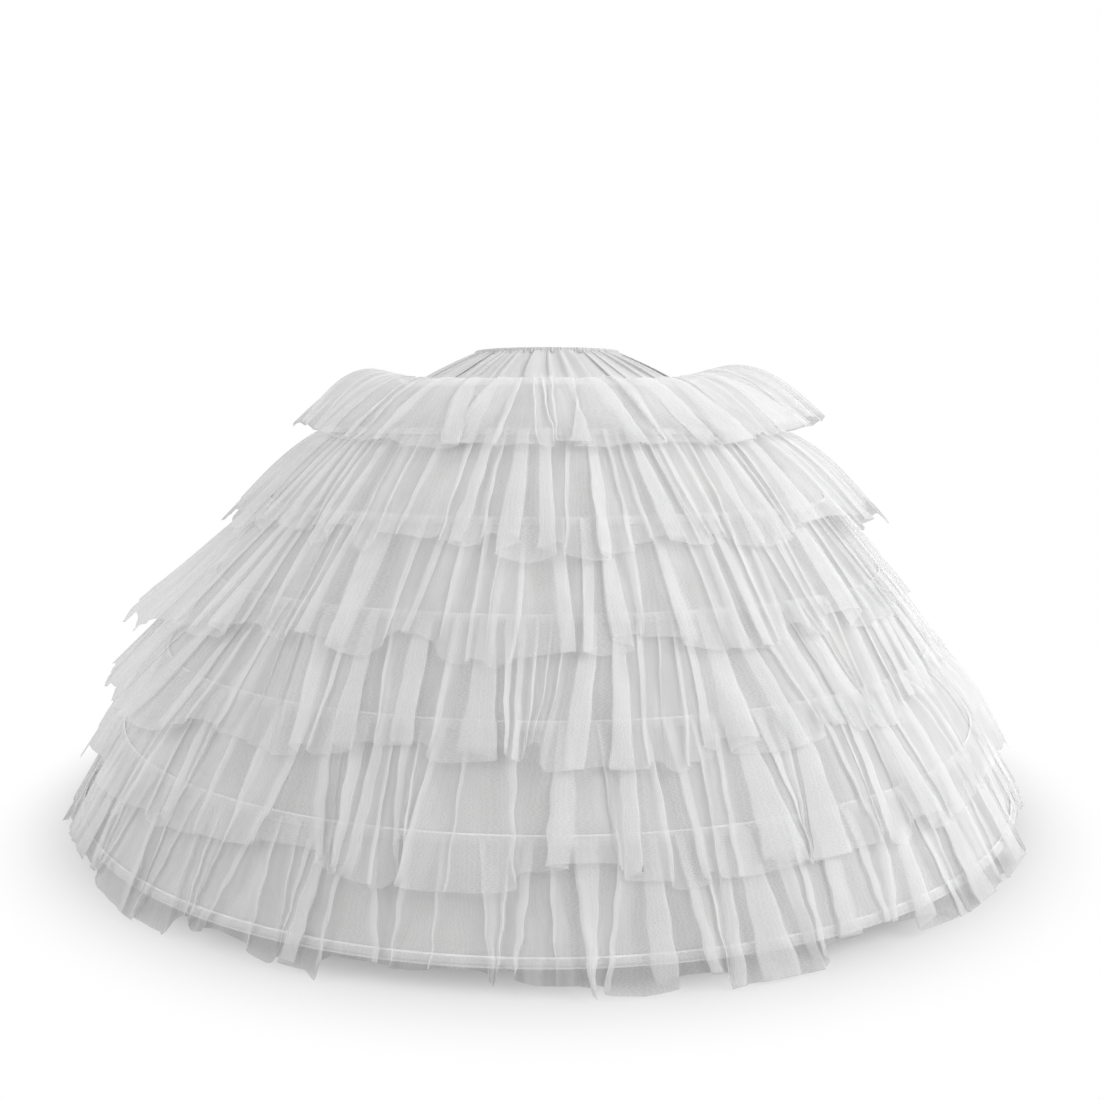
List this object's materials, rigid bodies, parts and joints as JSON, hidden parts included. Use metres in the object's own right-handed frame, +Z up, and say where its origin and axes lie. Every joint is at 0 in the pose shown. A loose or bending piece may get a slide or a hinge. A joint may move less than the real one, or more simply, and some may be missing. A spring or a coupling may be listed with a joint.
{
  "type": "hoop petticoat",
  "caption": "White dome-shaped hoop petticoat with an elasticated waist, a gathered yoke, steel hoops in sewn casings and tiers of gathered tulle ruffles.",
  "frame": {"origin": "on the waist's axis at the level of the hem", "axes": "+Z up along the waist's axis, front towards -Y, hoop joins towards +Y"},
  "size_m": [1.639, 1.639, 0.745],
  "materials": {
    "tulle": "matte net",
    "lining_cloth": "soft satin",
    "casing_cloth": "plain weave",
    "elastic_tape": "ribbed",
    "hoop_steel": "satin",
    "joiner_sleeve": "satin"
  },
  "bodies": {
    "root": {"waist_casing": "lining_cloth", "waist_elastic": "elastic_tape", "yoke": "lining_cloth", "lining_tier_1": "lining_cloth", "lining_tier_2": "lining_cloth", "lining_tier_3": "lining_cloth", "lining_tier_4": "lining_cloth", "lining_tier_5": "lining_cloth", "lining_tier_6": "lining_cloth", "hoop_casing_1": "casing_cloth", "hoop_casing_2": "casing_cloth", "hoop_casing_3": "casing_cloth", "hoop_casing_4": "casing_cloth", "hoop_casing_5": "casing_cloth", "hoop_casing_6": "casing_cloth", "hoop_1": "hoop_steel", "hoop_2": "hoop_steel", "hoop_3": "hoop_steel", "hoop_4": "hoop_steel", "hoop_5": "hoop_steel", "hoop_6": "hoop_steel", "hoop_joiner_1": "joiner_sleeve", "hoop_joiner_2": "joiner_sleeve", "hoop_joiner_3": "joiner_sleeve", "hoop_joiner_4": "joiner_sleeve", "hoop_joiner_5": "joiner_sleeve", "hoop_joiner_6": "joiner_sleeve", "ruffle_1": "tulle", "ruffle_2": "tulle", "ruffle_3": "tulle", "ruffle_4": "tulle", "ruffle_5": "tulle", "ruffle_6": "tulle"}
  },
  "joints": []
}
